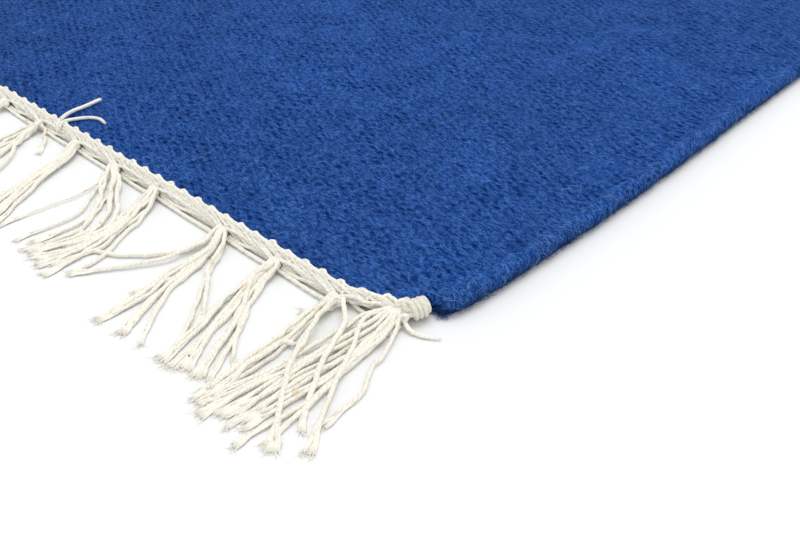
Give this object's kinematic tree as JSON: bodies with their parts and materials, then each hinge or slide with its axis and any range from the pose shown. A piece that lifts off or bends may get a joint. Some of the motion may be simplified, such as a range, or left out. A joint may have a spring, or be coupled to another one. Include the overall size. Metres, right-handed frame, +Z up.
{
  "type": "kilim rug",
  "caption": "Flat-woven wool rug lying flat, with wrapped side edges, twined cotton end finishes, whipped corners and a knotted tassel fringe at each end.",
  "frame": {"origin": "on the floor under the middle of the rug", "axes": "+Z up, +Y along the warps from fringe to fringe, +X across from selvedge to selvedge"},
  "size_m": [0.6, 1.024, 0.0076],
  "materials": {
    "wool": "matt, slightly fuzzy weft-faced wool weave in mid blue",
    "cotton_cord": "matt natural cotton cord, lightly twisted",
    "cotton_fringe": "matt natural cotton warp ends, frayed at the tips"
  },
  "bodies": {
    "root": {"woven_field": "wool", "twined_band_front": "cotton_cord", "twined_band_back": "cotton_cord", "fringe_front": "cotton_fringe", "fringe_back": "cotton_fringe", "corner_whipping_front_right": "cotton_cord", "corner_whipping_front_left": "cotton_cord", "corner_whipping_back_right": "cotton_cord", "corner_whipping_back_left": "cotton_cord"}
  },
  "joints": []
}
